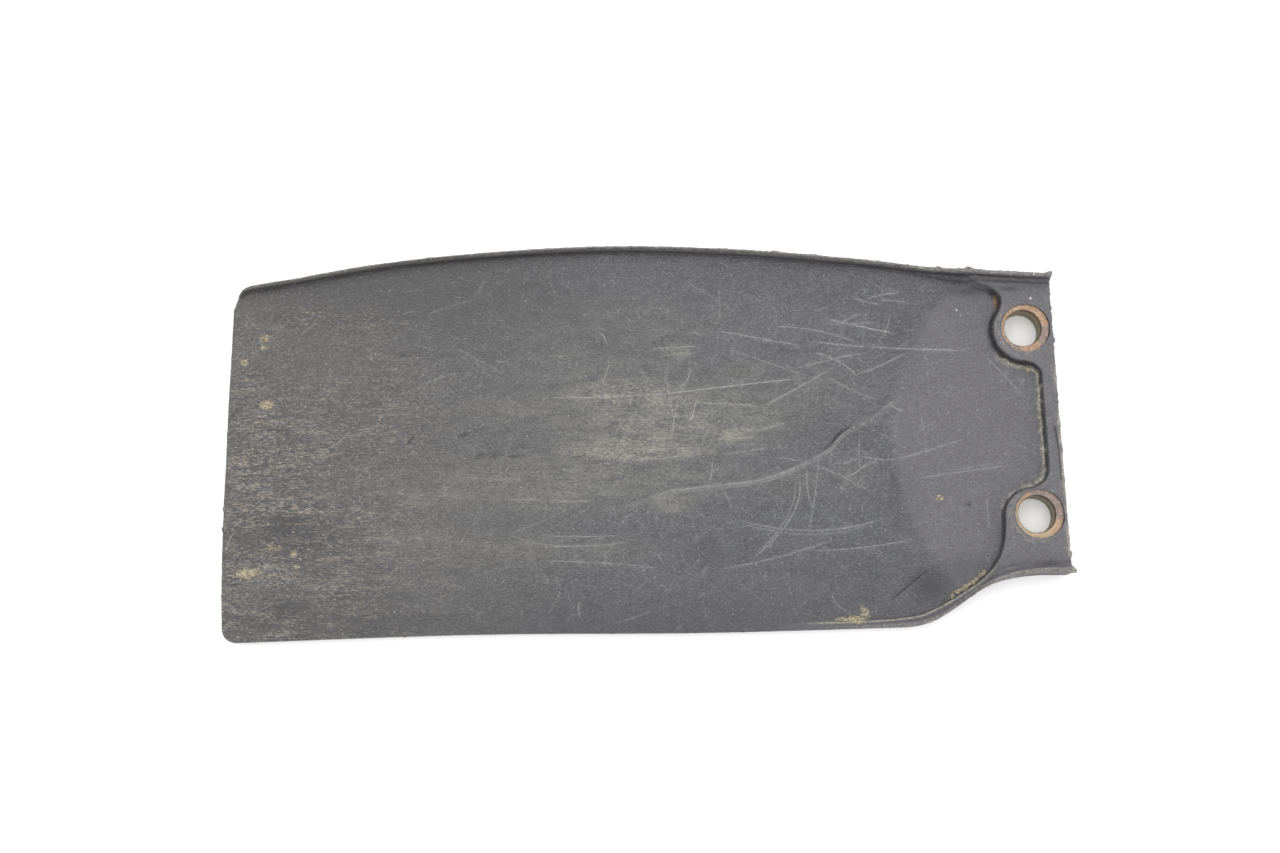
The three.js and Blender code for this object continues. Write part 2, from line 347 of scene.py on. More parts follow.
# Scratches, each as a strength and the X and Y of its start, its middle and its end
SCRATCHES = [
    (0.7, -76.5, 26, -62.5, 23, -54.5, 21), (0.5, -74, 21.5, -60, 16, -54, 13.5),
    (0.9, -92, 10, -75, 11.5, -55.5, 13), (0.8, -64.5, 6.5, -56.5, 10.5, -47, 15.5),
    (0.8, -52.5, 22.5, -39, 20.5, -13.5, 18.5), (0.6, -61.5, 26.5, -51, 25, -40.5, 21.5),
    (0.6, -56.5, 15.5, -47.5, 17.5, -39, 19), (0.7, -41.5, 13.5, -35.5, 15.5, -29, 18.5),
    (0.8, -51.5, 19.5, -45, 16.5, -41.5, 13), (1.0, -48, 28, -43, 26.5, -31, 23.5),
    (0.6, -44.5, 27, -42, 28, -39.5, 29), (0.5, -48, 26.5, -41.5, 26.5, -35.5, 26.5),
    (0.6, -41, 33, -38, 32, -34.5, 31), (0.7, -38, 32.5, -34.5, 33.5, -29.5, 34),
    (0.6, -34.5, 32, -31, 32, -27, 31), (0.5, -32.5, 28, -33.5, 24.5, -36, 21.5),
    (0.5, -49, 13.5, -43.5, 10, -37, 7), (0.6, -86, 8.5, -87, 3.5, -88, -1.5),
    (0.9, -81.5, 8.5, -82.5, 4.5, -84, 3), (0.8, -82.5, 17, -83.5, 13.5, -86, 11.5),
    (0.5, -88.5, 17, -88.5, 13.5, -87, 3.5), (0.6, -80.5, 7.5, -71.5, 7, -65, 6),
    (0.6, -71, 1, -69, 0.5, -67.5, 0), (0.7, -67.5, 0, -63.5, 1, -59.5, 2),
    (0.5, -63, -6.5, -51.5, -9.5, -39, -16.5), (0.7, -33.5, 5.5, -32, 4.5, -30.5, 4),
    (0.5, -55, -10, -55, -15.5, -54, -20), (0.5, -52, -6.5, -53, -14.5, -55.5, -25.5),
    (0.7, -57, -12, -59.5, -21.5, -69.5, -31.5), (0.5, -58, -12, -60.5, -21.5, -69, -30.5),
    (0.5, -79.5, -14, -78.5, -10.5, -78, -6.5), (0.5, -75.5, -14.5, -74.5, -16.5, -74, -18.5),
    (0.6, -76.5, -33.5, -62.5, -31, -50, -27.5), (0.6, -73, -21.5, -53.5, -25, -35, -22),
    (0.4, -72, -22.5, -53.5, -26, -38, -23), (0.6, -54, -30, -42, -29.5, -30, -28),
    (0.5, -50.5, -40.5, -49.5, -43, -47, -45), (0.5, -41.5, -2, -42, -6.5, -42, -11),
    (0.4, -48.5, -5.5, -49, -7, -49, -8.5), (0.9, -46.5, -12.5, -43, -11, -39.5, -8.5),
    (0.6, -46, -9, -44, -8, -41.5, -7.5), (0.6, -41.5, -7, -37, -8, -32.5, -8),
    (0.7, -32.5, -8, -28, -7, -17, -4), (0.5, -28, -13, -18, -12, -5, -10.5),
    (0.3, -20, -11.5, -13, -10.5, -6, -9.5), (0.4, -28.5, -2.5, -25.5, -0.5, -22.5, 1),
    (0.45, -9.8, 17.4, -4.9, 11.8, -0.6, 6.6), (0.4, -11.5, -18, -11.5, -22, -11.5, -26.5),
    (0.3, -83.5, 39, -75, 33.5, -70, 29.5), (0.35, -148, 32.5, -141.5, 34.5, -135.5, 36),
    (0.35, -141, 24, -134, 20, -127.5, 16), (0.5, -148, 15, -144, 16.5, -140, 17.5),
    (0.6, -104.5, 26.5, -103.5, 25, -103, 23.5), (0.5, -102.5, 20, -103, 17, -104.5, 13.5),
    (0.35, -134, -14.5, -121, -15, -108.5, -16), (0.3, -128, -23, -118, -19.5, -112, -16.5),
    (0.35, -128, -23.5, -116, -26.5, -98, -26), (0.5, -121, -30, -106.5, -31, -91, -33),
    (0.6, -111.5, -40, -112, -42, -111.5, -44), (0.6, -197.5, -25.5, -196.5, -22.5, -195, -20),
    (0.6, -176, -1.5, -170.5, 0.5, -167, 4), (0.6, -173, -23.5, -172, -24.5, -171, -25),
    (0.6, -189, -22.5, -187.5, -23.5, -186, -24.5), (0.5, -161, 25, -161.5, 23, -161.5, 21),
    (0.6, -118, 10.4, -104, 10, -87.5, 10.5), (0.5, -98, -3.3, -91, -3.5, -83, -3.5),
    (0.6, -98.5, -5.8, -91, -5.8, -84.5, -5.2), (0.5, -75.5, -5.5, -70, -4.8, -64, -4.2),
    (0.5, -106.5, 4.3, -98, 4.1, -90, 4), (0.6, -117.5, -15.9, -112, -15.7, -108.5, -15.9),
    (0.5, -119, -24, -109, -24.5, -102, -24.4), (0.6, -119, -26.7, -108, -26.7, -99.5, -26.3),
    (0.5, -93, 21.3, -88.7, 22, -80, 22),
]


def through(start, middle, end, step):
    """Points at equal steps on the curve that passes three points."""
    start, middle, end = (np.array(point, float) for point in (start, middle, end))
    bend = 2 * middle - (start + end) / 2
    t = np.linspace(0, 1, 24)[:, None]
    return even(start * (1 - t) ** 2 + 2 * bend * t * (1 - t) + end * t * t, step)


GOUGE = Line(even(spline([
    (-103, -19), (-96, -16.3), (-88.5, -14), (-77.5, -13), (-66.5, -12), (-57, -9), (-52.5, -7),
    (-49, -4.5), (-46, -1.5), (-43.5, 0), (-40, 1.5), (-36.5, 3.5), (-33.5, 6), (-31, 6.5),
]), 0.35))
CREASE = Line(through((-36, -42.5), (-31.5, -39), (-27.5, -36), 0.4))
SPLIT = Line(through((5.9, -2), (6.45, -8), (6.5, -15), 0.4))
DIP = (-26.5, -40)
DIP_R = 5.0

# Hazes of dried dust on the middle of the flap: centre, length along X, width, strength
HAZES = [
    (-88, 4, 66, 22, 0.4), (-108, -10, 90, 16, 0.28), (-100, 11, 34, 9, 0.5), (-90, 9, 16, 6, 0.5),
    (-98, -3, 38, 9, 0.6), (-84, -4, 18, 5, 0.5), (-74, -1, 20, 6, 0.5), (-86, 21, 10, 5, 0.45),
    (-82, 5, 12, 8, 0.45), (-88, -17, 12, 6, 0.45), (-130, -9, 34, 8, 0.3), (-118, -14, 30, 8, 0.3),
    (-148, -13, 26, 7, 0.25), (-120, 8, 40, 8, 0.25), (-112, 20, 20, 6, 0.2), (-128, -27, 34, 8, 0.25),
    (-150, -24, 26, 9, 0.2), (-104, -28, 26, 6, 0.2), (-60, -13, 30, 10, 0.15), (-66, 4, 20, 6, 0.35),
    (-42, 5, 16, 10, 0.12), (-44, -12, 14, 12, 0.15), (-92, 28, 70, 18, 0.13), (-100, 16, 60, 12, 0.2),
    (-92, -10, 50, 10, 0.25), (-92, 3, 54, 14, 0.4), (-60, 9, 56, 22, 0.15), (-70, 15, 20, 8, 0.25),
]

# Dried mud: centre, length along X, width, strength
MUD = [
    (-45.5, -47.0, 10, 2.8, 0.9), (-43, -45.2, 4, 4.0, 0.8), (-48.5, -46.8, 5, 1.8, 0.8),
    (-192, -30.5, 9, 3.2, 0.9), (-185, -24.5, 9, 3, 0.6), (-195.5, -37, 7, 5, 0.5), (-190, -42, 16, 4, 0.4),
    (-180.5, -26, 2.5, 2, 1.1), (-180, -29.5, 4, 1.8, 0.8), (-180.5, -14.5, 3, 2, 0.8),
    (-177, -15.3, 1.8, 1, 0.9), (-187.5, 11, 4.5, 3, 1.1), (-188, 28, 4, 3.5, 0.8), (-188, 25.5, 3, 1.2, 1.0),
    (-193, 22, 3, 3, 0.8), (-176, 34, 7, 1.4, 0.7), (-186, 6.5, 14, 4, 0.5), (-176, -7, 14, 3, 0.45),
    (-160, 23, 4, 2, 0.5), (-194, -46, 3, 0.8, 0.9), (-164, -18, 16, 3, 0.4), (-150, -17, 10, 3, 0.35),
    (-137, -40, 10, 5, 0.3), (-159.5, 6.5, 1.2, 2, 0.7), (-196, 27, 3, 6, 0.4), (-168, 16, 24, 5, 0.3),
    (-23, -18, 3, 2.2, 0.8), (1.2, 13.2, 1.9, 1.5, 1.4), (-113, -45, 20, 2.5, 0.3), (-88, -44, 16, 2.5, 0.25),
    (-154, -20, 30, 8, 0.3),
]

# Some of these are painted shade: the dip at (-26.5, -39.5), and the spots under the top lip beside the strip
# (x -13 to 3.5), which are dirt and painted shadow together
# Dark places: centre, length along X, width, strength
DARKS = [
    (-181, -19, 16, 5, 1.0), (-182, -40, 14, 6, 0.8), (-163, -38, 26, 5, 0.5), (-176, -31, 20, 3, 0.4),
    (-26.5, -39.5, 11, 9, 1.1), (-48, -35, 40, 10, 0.3), (-80, -30, 40, 10, 0.2), (-52, 0, 26, 10, 0.2),
    (-16, -20, 1.3, 1.0, 1.6), (-152.3, 0.5, 1.3, 0.9, 2.4), (-151.5, 1.5, 1.0, 0.8, 2.2),
    (-139.5, 1.6, 1.6, 0.8, 2.2), (-138.3, 2.1, 1.2, 0.6, 2.2), (-153.7, 22.4, 1.6, 0.7, 1.8),
    (-135, -3.5, 1.8, 0.9, 1.6), (-131.5, -3.8, 1.8, 0.8, 1.6), (-127, -4, 2.4, 0.8, 1.8),
    (-30, 22, 12, 30, 0.25), (-34, -20, 10, 20, 0.2), (-190, 18, 12, 6, 0.3), (-150, 37, 90, 26, 0.5),
    (-100, -48, 210, 20, 0.55), (-183, -22, 26, 12, 0.8), (-60, 38, 80, 18, 0.12), (-155, -44, 80, 9, 0.6),
    (-17, -36, 16, 8, 0.5), (-30, -43, 12, 7, 0.5), (1.9, -35.3, 6, 1.3, 0.9), (-2.5, 33.2, 7, 1.3, 1.0),
    (3.5, 33.3, 5, 0.9, 0.5), (-13, 33.5, 9, 2.4, 0.9),
]

# Specks of grit: centre, size, strength
GRIT = [(2.4, 30.6, 0.2, 1.0), (-15.6, 28.9, 0.17, 0.8), (3.0, 36.0, 0.17, 0.7), (-24.5, 39.6, 0.2, 0.6)]
NIBS = [  # torn flash on the outline: where it is, and how far it stands out
    (-20, 39.4, 0.4), (-13, 38.3, 0.6), (7.3, 36.3, 0.5), (7.3, 20, 0.4), (7.3, -33, 0.4), (7.3, -37.6, 0.55),
    (-154, -47.1, 0.3), (-198, -19.5, 0.35), (-198, -14.5, 0.3), (-60, 45, 0.2), (-66, -49, 0.2),
    (-104, -48, 0.2),
]


def blobs(xy, spots):
    """How much of the listed soft spots lies at each point."""
    total = np.zeros(len(xy))
    for x, y, length, width, strength in spots:
        away = np.hypot((xy[:, 0] - x) / (length / 2), (xy[:, 1] - y) / (width / 2))
        total = np.maximum(total, strength * smooth(-away, -1.6, -0.1))
    return total


# ---------------------------------------------------------------- the rubber's relief

LIP_DROP_WIDTH = 0.4
RIM_START = -62  # where the rim along the stepped edge begins
WALL_FOOT = -0.62
WALL_SHARE = [  # places across the wall, and the share of its height there
    [-0.78, WALL_FOOT, -0.5, -0.36, -0.14, 0.0, 0.2, 0.5],
    [0, 0, 0.06, 0.3, 0.82, 0.93, 0.99, 1],
]


def band_top(x):
    """Top of the strip, which thins out where it runs on below the stepped edge."""
    return np.interp(x, [RIM_START, -45, -34, -25, -16, -9], [3.05, 3.25, 3.6, 4.2, 5.4, STRIP])


def rim_top(x):
    """Top of the rim along the stepped edge."""
    return np.interp(x, [RIM_START, -45, -34, -25, -15, -3], [3.1, 3.4, 3.9, 4.6, 6.4, LIP_TOP])


def top_lip(x):
    """The top lip's height, crest width, inner drop and inner facet at each x."""
    beside_strip = smooth(x, -24, -9)
    top = SHEET + (LIP_TOP - STRIP) + (STRIP - SHEET) * beside_strip
    top = top - 2.4 * smooth(-x, 190.5, 195.5)
    crest = np.interp(x, [-195, -154, -114, -84, -54, -28, -9], [0.4, 0.4, 0.5, 0.55, 0.6, 0.7, 0.85])
    drop = np.interp(x, [-27, -19], [0.97, 0.42])
    facet = np.interp(x, [-26, -17, -8, 7], [0.1, 1.0, 0.75, 0.65])
    return top, crest, drop, facet


def lip_height(x, top_in, face):
    """Height across the top lip: its crest, the drop inside it and the facet down to the face."""
    lip, crest, drop, facet = top_lip(x)
    drop_end = crest + LIP_DROP_WIDTH
    shelf = lip - drop * (lip - face)
    fall = smooth(top_in, crest - 0.06, drop_end)
    slide = np.clip((top_in - drop_end) / facet, 0, 1)
    return lip * (1 - fall) + (shelf * (1 - slide) + face * slide) * fall


def wall_slant(y):
    """How far the strip's wall leans out, as a share of the lean beside the upper hole."""
    return np.interp(y, [-46, -36, -24, -14, -11, 11, 14, 17], [0.35, 0.4, 0.5, 0.45, 0.35, 0.35, 0.7, 1.0])


def sheet(xy, edge):
    """Height of the uneven sheet, and how much there is of its round zone and of the free end's streaks."""
    x, y = xy.T
    root_in = ROOT_R - np.hypot(x - ROOT_CENTRE[0], y - ROOT_CENTRE[1])
    root = smooth(root_in, -1.6, 1.6)
    z = SHEET + ROOT_RISE * root
    z += (0.07 * noise(xy, 34, 1) + 0.04 * noise(xy, 13, 2)) * smooth(edge, 0, 12)
    z += 0.012 * noise(xy, 2.2, 3) * (1 - 0.6 * root) + 0.010 * noise(xy, 1.1, 4, 2.5)
    higher_up = 0.08 * np.maximum(y - 18, -8)
    streaky = smooth(-x, 128, 188) * smooth(0.9 * noise(xy, 11, 71, 2.0) - higher_up, -1.5, 0.5)
    z += 0.012 * streaky * noise(xy, 0.8, 5, 9.0)
    return z, root, streaky


def window_rings(x, y):
    """Ridges (above 0) and hollows (below 0) round the covered side of each collar's flange."""
    total = np.zeros(len(x))
    for side in (1, -1):
        dx, dy = x, y - side * HOLE_Y
        radius = np.hypot(dx, dy)
        covered = smooth(-dx - 0.6 * dy, -1.0, 4.0)
        ends = smooth(radius, 5.9, 6.2) * smooth(-radius, -7.6, -7.0)
        total += np.cos((radius - 6.2) * 2 * math.pi / RING_PITCH) * ends * covered
    return total


def gouge(xy):
    """The long mark: how far it rises or sinks, how much painted shadow lies along its cut, and how pale its
    scuffs and the painted highlight on its welt are.
    """
    x = xy[:, 0]
    cut = GOUGE.measure(xy)
    along = smooth(x, -53, -48.5) * smooth(-x, 42.5, 45.5)
    welt = smooth(x, -104, -88) * smooth(-x, 30.5, 33)
    wander = cut - 0.25 * noise(xy, 2.2, 9)
    rise = welt * (WELT_HEIGHT * hump(cut, -0.1, 0.4) - 0.06 * hump(cut, 0.7, 0.5))
    rise -= GOUGE_DEPTH * along * hump(wander, 0.45, 0.35)
    # Pale scuffs along the welt, with a painted highlight on its crest
    scuffs_and_highlight = welt * (0.34 * hump(cut, -0.1, 0.3) + 0.22 * hump(cut, -0.75, 0.22))
    scuffs_and_highlight *= smooth(noise(xy, 1.8, 41, 2.5), -1.8, 0.2)
    scuffs_and_highlight *= np.interp(x, [-95, -80, -50, -42], [0.6, 1, 1, 0.7])
    return rise, 0.9 * along * hump(wander, 0.5, 0.35), scuffs_and_highlight


def dust_at_edges(xy, before_wall, slant, rings):
    """Dried dust at the foot of the strip's wall, on the rings and at the strip's end."""
    x, y = xy.T
    ragged = before_wall + 0.22 * noise(xy, 0.9, 36) + WALL_FOOT * slant
    foot = 1.7 * hump(ragged, 0.36, 0.34) * smooth(noise(xy, 0.9, 33), -1.2, 0.3)
    foot *= np.interp(y, [-32, -24, -19.5, -16.5, 13, 16, 19], [0, 0.1, 0.35, 1, 1, 0.7, 0])
    below_lobe = 0.8 * hump(ragged, 0.6, 0.55) * smooth(y, 12, 14) * smooth(-y, -18, -15)
    foot = np.clip(np.maximum(foot, below_lobe), 0, 1) * smooth(ragged, -0.02, 0.14) * (before_wall > 0)
    ridge = hump(before_wall, -0.1, 0.22) * smooth(-x, 9, 14) * smooth(x, -60, -50) * (y < -30)
    end = hump(STRIP_END - x, 0.25, 0.4) * smooth(noise(xy, 2.5, 37, 0.4), -0.9, 0.4) * smooth(-y, -24, -10)
    return np.max([foot, 0.8 * ridge, 0.8 * end, 0.4 * np.clip(rings, 0, 1)], axis=0)


def relief(xy):
    """Height of the rubber's face at each point, and how much of each finish and of painted shade it has."""
    x, y = xy.T
    before_wall = -WALL.measure(xy)
    window = np.min([np.abs(line.measure(xy)) for line in WINDOWS], axis=0)
    edge = OUTLINE.measure(xy)
    top_in = TOP.measure(xy)
    step_in = STEPPED.measure(xy)

    # Sheet, strip, the wall between them with the groove at its foot, and the rings
    sheet_z, root, streaky = sheet(xy, edge)
    step = band_top(x) - SHEET
    slant = wall_slant(y)
    over = np.where(before_wall > 0, -before_wall / slant, -before_wall) + 0.05 * noise(xy, 0.8, 38)
    share = np.interp(over, *WALL_SHARE)
    groove = hump(over, WALL_FOOT, 0.2) * np.clip(step, 0, 1)
    rings = window_rings(x, y)
    face = sheet_z * (1 - share) + (SHEET + step + 0.03 * noise(xy, 6, 6)) * share
    face = face - GROOVE_DEPTH * groove + RING_HEIGHT * rings

    # Lip along the top edge
    _, crest, _, facet = top_lip(x)
    foot = crest + LIP_DROP_WIDTH + facet
    lip_foot = hump(top_in - foot, 0.06, 0.14)
    rough = 0.09 * noise(xy, 0.9, 7) + 0.07 * noise(xy, 2.6, 8)
    z = np.where(top_in < foot, lip_height(x, top_in, face), face) - 0.06 * lip_foot
    z += rough * (1 - smooth(top_in, crest - 0.15, crest + 0.1))

    # Rim along the stepped edge
    lean = np.interp(x, [-45, -30, -20, -8], [0.25, 0.5, 0.9, 1.7])
    rim_crest = np.interp(x, [-60, -30, 0], [0.45, 0.8, 0.95])
    slope = np.clip(1 - (step_in - rim_crest) / lean, 0, 1) ** 1.8
    rim = np.maximum(rim_top(x) - face, 0) * (x > RIM_START) * slope
    rim_part = 1 - smooth(step_in, rim_crest - 0.1, rim_crest + 0.15)
    z += (rim + rough * rim_part * smooth(x, -60, -20)) * (top_in >= foot)

    # Worn outer edge, sunk edges of the windows, gouge, crease, split and dip
    gouge_rise, gouge_painted_shadow, scuffs_and_highlight = gouge(xy)
    crease = hump(CREASE.measure(xy), 0, 0.22)
    split = 0.85 * hump(SPLIT.measure(xy), 0, 0.11)
    dip = hump(np.hypot(x - DIP[0], y - DIP[1]), 0, DIP_R) * (over < -1)
    z -= OUTER_WEAR * np.clip(1 - edge / WEAR_WIDTH, 0, 1) ** 2
    z -= WINDOW_WEAR * np.clip(1 - window / WEAR_WIDTH, 0, 1) ** 2
    z += gouge_rise - CREASE_DEPTH * crease - SPLIT_DEPTH * split - DIP_DEPTH * dip

    # Painted shade: dark lines on the strip's wall (which is also bare black rubber), under the lip, along
    # the rim and in the cuts
    upper_part = smooth(y, 12, 16)
    # Painted shade down the strip's wall, which is also bare black rubber; below the lobe it fades out
    # towards the wall's foot
    clean = np.interp(over, [WALL_FOOT, -0.42], [0, 1]) * (1 - upper_part) + upper_part
    steep = np.interp(over, [-0.85, WALL_FOOT, -0.2, 0.05], [0, 1, 1, 0]) * clean
    steep *= np.clip(step / 2.4, 0, 1) * (top_in > foot)
    steep *= 1 - 0.92 * smooth(y, 30.5, 32.5) * smooth(-x, 6.2, 8.2)
    lip_drop = np.interp(top_in - crest, [0.16, 0.28, LIP_DROP_WIDTH, LIP_DROP_WIDTH + 0.12], [0, 1, 1, 0])
    lip_painted_shade = np.maximum(lip_drop, 0.6 * lip_foot) * np.interp(x, [-195, -150, -90], [0.7, 0.85, 1])
    rim_foot = 0.5 * hump(step_in - rim_crest, lean, 0.35) * smooth(x, -50, -30)
    outside = 0.55 * hump(before_wall, -1.2, 0.45) * smooth(x, -29, -24) * smooth(-x, 9, 13) * (y < -30)
    groove_painted_shade = 0.6 * groove * upper_part * (top_in > foot) * smooth(x, -9.5, -7.5)
    painted_shade_and_bare_black = np.max([steep, lip_painted_shade, rim_foot, outside, 0.5 * crease, split, groove_painted_shade, gouge_painted_shadow], axis=0)

    # Dirt and paler crests; the finishes below also carry painted shade
    lip_top = 1 - smooth(top_in, crest + 0.14, crest + 0.28)
    diagonal = hump(before_wall, 0.9, 0.9) * smooth(x, -28, -20) * smooth(-x, 11.5, 14.5) * (y < -30)
    diagonal *= 1.15 * smooth(noise(xy, 1.1, 34), -1.2, 0.4)
    haze = blobs(xy, HAZES)
    spots = [strength * hump(np.hypot(x - gx, y - gy), 0, size) for gx, gy, size, strength in GRIT]
    return z, {
        "painted_shade_and_bare_black": painted_shade_and_bare_black,
        "grime_and_painted_shade": blobs(xy, DARKS),
        "root": root * (over < 0),
        "strip": smooth(over, -0.1, 0.3),
        "crest": np.maximum(lip_top, rim_part * smooth(x, RIM_START, -30)),
        "mud": np.maximum(blobs(xy, MUD), diagonal),
        "rust": hump(x, -5.85, 0.38) * hump(y, 30.5, 1.2),
        "grit": np.max(spots, axis=0),
        "haze": haze,
        "streak": streaky,
        "brown": smooth(-x, 70, 190) + 0.6 * haze,
        "dust": dust_at_edges(xy, before_wall, slant, rings),
        # The scratch finish also carries the gouge's painted highlight
        "scratch": scuffs_and_highlight,
    }


# ---------------------------------------------------------------- the rubber's mesh

def clear_of(points, taken, gap):
    """The points that keep a gap from every point in taken."""
    tree = tree_of(taken)
    return points[[tree.find((x, y, 0))[2] > gap for x, y in points]]


def small_scratches():
    """Many short random scuffs, which keep closer to the flap's long way on its worn half."""
    random = np.random.default_rng(12)
    scuffs = []
    for _ in range(SMALL_SCRATCHES):
        x, y = random.uniform(-195, -4), random.uniform(-45, 44)
        lean = random.normal(0, 0.35) if x < -120 else random.normal(0, 0.9)
        reach = random.exponential(0.9) + 0.4
        along = reach * np.array([math.cos(lean), math.sin(lean)])
        bow = random.normal(0, 0.07) * np.array([-along[1], along[0]])
        strength = random.uniform(0.1, 0.42)
        start, middle, end = (np.array([x, y]) + part for part in (-along, bow, along))
        scuffs.append((0.75 * strength, *start, *middle, *end))
    return scuffs


def scratch_points(side):
    """Points along every scratch, moved to one side, with the strength at each. It fades at both ends."""
    places, strengths = [], []
    for strength, *path in SCRATCHES + small_scratches():
        line = Line(through(*np.reshape(path, (3, 2)), EDGE_STEP))
        t = np.linspace(0, 1, len(line.points))
        places.append(line.points + line.normals() * side)
        strengths.append(strength * np.clip(9 * np.minimum(t, 1 - t), 0.25, 1))
    return np.vstack(places), np.concatenate(strengths)


def feature_rows():
    """Rows of points along each feature, in the order in which they take their place."""
    _, crest, _, facet = top_lip(TOP.points[:, 0])
    drop_end = crest + LIP_DROP_WIDTH
    slant = wall_slant(WALL.points[:, 1])
    across_wall = (WALL_FOOT, -0.48, -0.34, -0.2, -0.06, -0.76, -0.95, -1.25, -1.65)
    lines_and_offsets = [
        (OUTLINE, (0.14, 0.4, 0.75)),
        *((window, (-0.14, -0.4, -0.75, -1.15)) for window in WINDOWS),
        (TOP, [crest + part for part in (-0.15, 0.0, 0.12, 0.24, 0.36)]),
        (TOP, [drop_end + facet + part for part in (0.0, 0.13, 0.3, 0.6, 1.0)]),
        (TOP, [drop_end + facet * part for part in (0.33, 0.67)]),
        (WALL, (0.06, 0.2, 0.45, 0.8, -0.35, -0.5, -0.7, -0.95)),
        (WALL, [slant * part for part in across_wall]),
        (STEPPED, (0.95, 1.15, 1.4, 1.7, 2.1, 2.6)),
        (CREASE, (0, 0.2, -0.2, 0.4, -0.4)),
        (SPLIT, (0, 0.12, -0.12)),
        (GOUGE, (0.25, 0, 0.5, -0.25, 0.75, -0.5, 1.05, -0.8, -1.15)),
    ]
    rows = [line.row(offset) for line, offsets in lines_and_offsets for offset in offsets]
    rows += [scratch_points(side)[0] for side in (0, SCRATCH_SIDE, -SCRATCH_SIDE)]
    for turn in np.arange(6) * math.pi / 3:
        aside, up = math.cos(turn), math.sin(turn)
        rows += [np.array([(x + GRIT_REACH * size * away * aside, y + GRIT_REACH * size * away * up)
                           for x, y, size, _ in GRIT]) for away in (0, 1, 2)]
    return rows


def face_points():
    """Inner points of the rubber's face: dense along its features, and an even jittered net elsewhere."""
    rims = [OUTLINE.points] + [line.points for line in WINDOWS]
    taken = np.vstack(rims)
    for row in feature_rows():
        row = row[within(row, OUTLINE, WINDOWS, RIM_GAP)]
        taken = np.vstack([taken, clear_of(row, taken, FEATURE_GAP)])
    rise = FACE_STEP * math.sqrt(3) / 2
    across = np.arange(FLAP_LOW[0], FLAP_HIGH[0], FACE_STEP)
    up = np.arange(FLAP_LOW[1], FLAP_HIGH[1], rise)
    net = np.stack(np.meshgrid(across, up), -1)
    net[1::2, :, 0] += FACE_STEP / 2
    net = net.reshape(-1, 2) + np.random.default_rng(5).uniform(-0.14, 0.14, (net.size // 2, 2))
    net = net[within(net, OUTLINE, WINDOWS, RIM_GAP)]
    net = clear_of(net, taken, 0.62 * FACE_STEP)
    return np.vstack([taken[sum(map(len, rims)):], net])


def plate(outer, holes, inner):
    """Triangles over the plane between closed lines, whose points come first and in their order."""
    rims = [outer.points, *(hole.points for hole in holes)]
    points = np.vstack([*rims, inner])
    edges, start = [], 0
    for rim in rims:
        edges += [(start + i, start + (i + 1) % len(rim)) for i in range(len(rim))]
        start += len(rim)
    _, _, triangles, sources, _, _ = delaunay_2d_cdt([Vector(p) for p in points], edges, [], 0, 1e-7)
    source = np.array([group[0] if group else -1 for group in sources])
    if (source < 0).any():
        raise ValueError("two rims of the rubber cross")
    triangles = source[np.array(triangles)]
    corners = points[triangles]
    first, second = corners[:, 1] - corners[:, 0], corners[:, 2] - corners[:, 0]
    area = np.abs(first[:, 0] * second[:, 1] - first[:, 1] * second[:, 0]) / 2
    outer_sliver = (area < 1e-3) & (triangles < start).all(axis=1)
    triangles = triangles[within(corners.mean(axis=1), outer, holes) & ~outer_sliver]
    used = np.zeros(len(points), bool)
    used[triangles] = True
    return points[used], (np.cumsum(used) - 1)[triangles]


class Shell:
    """Gathers vertices and faces of one mesh."""

    def __init__(self):
        self.places = []
        self.faces = []
        self.count = 0

    def add(self, places):
        """Adds vertices and returns their numbers."""
        self.places.append(np.array(places, float))
        self.count += len(places)
        return np.arange(self.count - len(places), self.count)

    def skin(self, rings):
        """Joins rings of vertices one after another with quads."""
        for first, second in zip(rings, rings[1:]):
            self.faces += np.stack([first, np.roll(first, -1), np.roll(second, -1), second], 1).tolist()


def new_object(name, data):
    """An object of the scene that shows this mesh, lamp or camera."""
    item = bpy.data.objects.new(name, data)
    bpy.context.scene.collection.objects.link(item)
    return item


def make_piece(name, shell, finishes, material, node):
    """One finished mesh that rides on the flap's body and stands for a CAD node."""
    mesh = bpy.data.meshes.new(name)
    mesh.from_pydata((np.vstack(shell.places) * MM).tolist(), [], shell.faces)
    mesh.polygons.foreach_set("use_smooth", [True] * len(mesh.polygons))
    for label, values in finishes.items():
        column = np.zeros(shell.count, np.float32)
        column[:len(values)] = values
        mesh.attributes.new(label, "FLOAT", "POINT").data.foreach_set("value", column)
    mesh.set_sharp_from_angle(angle=SHARP_ANGLE)
    mesh.materials.append(material)
    piece = new_object(name, mesh)
    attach(piece, "root")
    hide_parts(node)


# ---------------------------------------------------------------- the rubber

def flash(loop):
    """How far the moulding's torn flash stands out along the outline."""
    torn = 0.35 + 0.65 * smooth(loop[:, 0], -120, -50)
    out = 0.32 * torn * np.clip(noise(loop, 0.7, 51), 0, 1) ** 1.5 + 0.05 * noise(loop, 3.1, 52)
    for x, y, size in NIBS:
        away = np.hypot(loop[:, 0] - x, loop[:, 1] - y)
        out += size * hump(away, away.min(), 0.45)
    return out


TURN = np.arange(ROUND_SIDES) * 2 * math.pi / ROUND_SIDES
AROUND = np.stack([np.cos(TURN), np.sin(TURN)], 1)


def circle(y, radius):
    """A ring of points about a bore's axis."""
    return radius * AROUND + [0, y]


def level(ring, z):
    """Points of the plane at one height, or at a height each."""
    return np.column_stack([ring, np.broadcast_to(z, len(ring))])


def add_scratches(face, z, finish):
    """Cuts the scratches into the face and marks how pale they are."""
    scratches, strengths = scratch_points(0)
    tree = tree_of(scratches)
    found = [tree.find((x, y, 0))[1:] for x, y in face]
    nearest = np.array([index for index, _ in found])
    away = np.array([distance for _, distance in found])
    scratch = strengths[nearest] * np.clip(1.1 - away / SCRATCH_SIDE, 0, 1)
    finish["scratch"] = np.maximum(finish["scratch"], scratch)
    z -= SCRATCH_DEPTH * scratch


